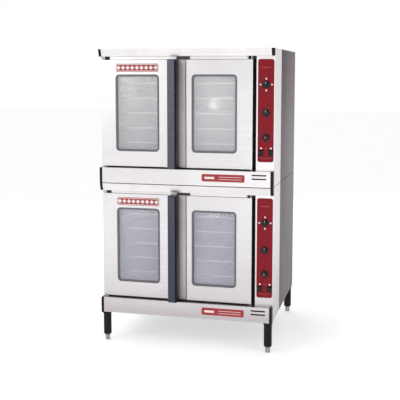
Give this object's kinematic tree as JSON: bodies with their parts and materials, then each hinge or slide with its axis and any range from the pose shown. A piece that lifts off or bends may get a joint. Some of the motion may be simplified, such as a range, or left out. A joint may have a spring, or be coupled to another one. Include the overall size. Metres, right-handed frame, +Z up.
{
  "type": "double-stacked convection oven",
  "caption": "Double-stacked full-size convection oven with paired French doors, glazed windows, a tall side control panel per section and adjustable legs.",
  "frame": {"origin": "centre of the bounding box at floor level, under the levelling feet", "axes": "+Z up; the doors face -Y; +X to the right as a cook faces the doors, where the control panels are"},
  "size_m": [0.972, 0.936, 1.641],
  "materials": {
    "stainless_door": "fine horizontal brushing",
    "stainless_trim": "fine horizontal brushing",
    "side_steel": "dull mill finish",
    "frame_steel": "dull galvanised",
    "black_steel": "satin black",
    "red_panel": "satin dark red",
    "red_plate": "satin red",
    "liner_enamel": "dark porcelain enamel with fine pale specks",
    "rack_chrome": "bright nickel plate",
    "element_steel": "heat-darkened sheath",
    "lamp_glass": "clear lens",
    "mineral_wool": "fibrous slab",
    "motor_paint": "dark grey paint",
    "wheel_aluminium": "dull aluminised steel",
    "gasket_rubber": "matt black seal",
    "window_glass": "clear toughened glass",
    "handle_enamel": "gloss blue-black porcelain enamel",
    "black_plastic": "satin black",
    "foot_nickel": "bright nickel plate"
  },
  "bodies": {
    "oven_body": {"back_panels": "side_steel", "base_frames": "frame_steel", "base_trims": "stainless_trim", "blower_motors": "motor_paint", "cavity_liners": "liner_enamel", "control_housings": "stainless_door", "control_panels": "red_panel", "door_gaskets": "gasket_rubber", "face_frames": "black_steel", "fan_baffles": "liner_enamel", "header_strips": "stainless_trim", "heating_elements": "element_steel", "hinge_brackets": "black_steel", "insulation": "mineral_wool", "left_side_panels": "side_steel", "legs": "black_steel", "leveling_feet": "foot_nickel", "motor_covers": "side_steel", "nameplates": "red_plate", "oven_lamps": "lamp_glass", "rack_guides": "rack_chrome", "racks": "rack_chrome", "right_side_panels": "side_steel", "switch_bodies": "black_plastic", "top_panels": "side_steel", "top_trims": "stainless_trim", "trim_end_caps": "black_steel"},
    "lower_left_door": {"lower_left_door_liner": "stainless_door", "lower_left_door_shell": "stainless_door", "lower_left_window_gasket": "gasket_rubber", "lower_left_window_glass": "window_glass", "lower_door_handle": "handle_enamel", "lower_door_badge": "red_plate"},
    "lower_right_door": {"lower_right_door_liner": "stainless_door", "lower_right_door_shell": "stainless_door", "lower_right_window_gasket": "gasket_rubber", "lower_right_window_glass": "window_glass"},
    "lower_selector": {"lower_selector_knob": "black_plastic"},
    "lower_thermostat": {"lower_thermostat_knob": "black_plastic"},
    "lower_timer": {"lower_timer_knob": "black_plastic"},
    "lower_power_switch": {"lower_power_rocker": "black_plastic"},
    "lower_light_switch": {"lower_light_rocker": "black_plastic"},
    "lower_blower": {"lower_blower_wheel": "wheel_aluminium"},
    "upper_left_door": {"upper_left_door_liner": "stainless_door", "upper_left_door_shell": "stainless_door", "upper_left_window_gasket": "gasket_rubber", "upper_left_window_glass": "window_glass", "upper_door_handle": "handle_enamel", "upper_door_badge": "red_plate"},
    "upper_right_door": {"upper_right_door_liner": "stainless_door", "upper_right_door_shell": "stainless_door", "upper_right_window_gasket": "gasket_rubber", "upper_right_window_glass": "window_glass"},
    "upper_selector": {"upper_selector_knob": "black_plastic"},
    "upper_thermostat": {"upper_thermostat_knob": "black_plastic"},
    "upper_timer": {"upper_timer_knob": "black_plastic"},
    "upper_power_switch": {"upper_power_rocker": "black_plastic"},
    "upper_light_switch": {"upper_light_rocker": "black_plastic"},
    "upper_blower": {"upper_blower_wheel": "wheel_aluminium"}
  },
  "joints": [
    {"name": "lower_left_door_hinge", "type": "hinge", "parent": "oven_body", "child": "lower_left_door", "pos_m": [-0.468, -0.396, 0.553], "axis": [0, 0, -1], "range_deg": [0, 120]},
    {"name": "lower_right_door_hinge", "type": "hinge", "parent": "oven_body", "child": "lower_right_door", "pos_m": [0.354, -0.396, 0.553], "axis": [0, 0, 1], "range_deg": [0, 120]},
    {"name": "lower_selector_turn", "type": "hinge", "parent": "oven_body", "child": "lower_selector", "pos_m": [0.44, -0.416, 0.71283], "axis": [0, 1, 0], "range_deg": [0, 270]},
    {"name": "lower_thermostat_turn", "type": "hinge", "parent": "oven_body", "child": "lower_thermostat", "pos_m": [0.44, -0.416, 0.56474], "axis": [0, 1, 0], "range_deg": [0, 300]},
    {"name": "lower_timer_turn", "type": "hinge", "parent": "oven_body", "child": "lower_timer", "pos_m": [0.44, -0.416, 0.43415], "axis": [0, 1, 0], "range_deg": [0, 330]},
    {"name": "lower_power_rock", "type": "hinge", "parent": "oven_body", "child": "lower_power_switch", "pos_m": [0.415, -0.404, 0.352], "axis": [-1, 0, 0], "range_deg": [0, 24]},
    {"name": "lower_light_rock", "type": "hinge", "parent": "oven_body", "child": "lower_light_switch", "pos_m": [0.4675, -0.404, 0.352], "axis": [-1, 0, 0], "range_deg": [0, 24]},
    {"name": "lower_blower_spin", "type": "hinge", "parent": "oven_body", "child": "lower_blower", "pos_m": [-0.057, 0.3, 0.5525], "axis": [0, 1, 0], "continuous": true},
    {"name": "upper_left_door_hinge", "type": "hinge", "parent": "oven_body", "child": "upper_left_door", "pos_m": [-0.468, -0.396, 1.291], "axis": [0, 0, -1], "range_deg": [0, 120]},
    {"name": "upper_right_door_hinge", "type": "hinge", "parent": "oven_body", "child": "upper_right_door", "pos_m": [0.354, -0.396, 1.291], "axis": [0, 0, 1], "range_deg": [0, 120]},
    {"name": "upper_selector_turn", "type": "hinge", "parent": "oven_body", "child": "upper_selector", "pos_m": [0.44, -0.416, 1.45083], "axis": [0, 1, 0], "range_deg": [0, 270]},
    {"name": "upper_thermostat_turn", "type": "hinge", "parent": "oven_body", "child": "upper_thermostat", "pos_m": [0.44, -0.416, 1.30274], "axis": [0, 1, 0], "range_deg": [0, 300]},
    {"name": "upper_timer_turn", "type": "hinge", "parent": "oven_body", "child": "upper_timer", "pos_m": [0.44, -0.416, 1.17215], "axis": [0, 1, 0], "range_deg": [0, 330]},
    {"name": "upper_power_rock", "type": "hinge", "parent": "oven_body", "child": "upper_power_switch", "pos_m": [0.415, -0.404, 1.09], "axis": [-1, 0, 0], "range_deg": [0, 24]},
    {"name": "upper_light_rock", "type": "hinge", "parent": "oven_body", "child": "upper_light_switch", "pos_m": [0.4675, -0.404, 1.09], "axis": [-1, 0, 0], "range_deg": [0, 24]},
    {"name": "upper_blower_spin", "type": "hinge", "parent": "oven_body", "child": "upper_blower", "pos_m": [-0.057, 0.3, 1.2905], "axis": [0, 1, 0], "continuous": true}
  ],
  "couplings": [
    {"joint": "lower_right_door_hinge", "follows": "lower_left_door_hinge", "ratio": 1},
    {"joint": "upper_right_door_hinge", "follows": "upper_left_door_hinge", "ratio": 1}
  ]
}
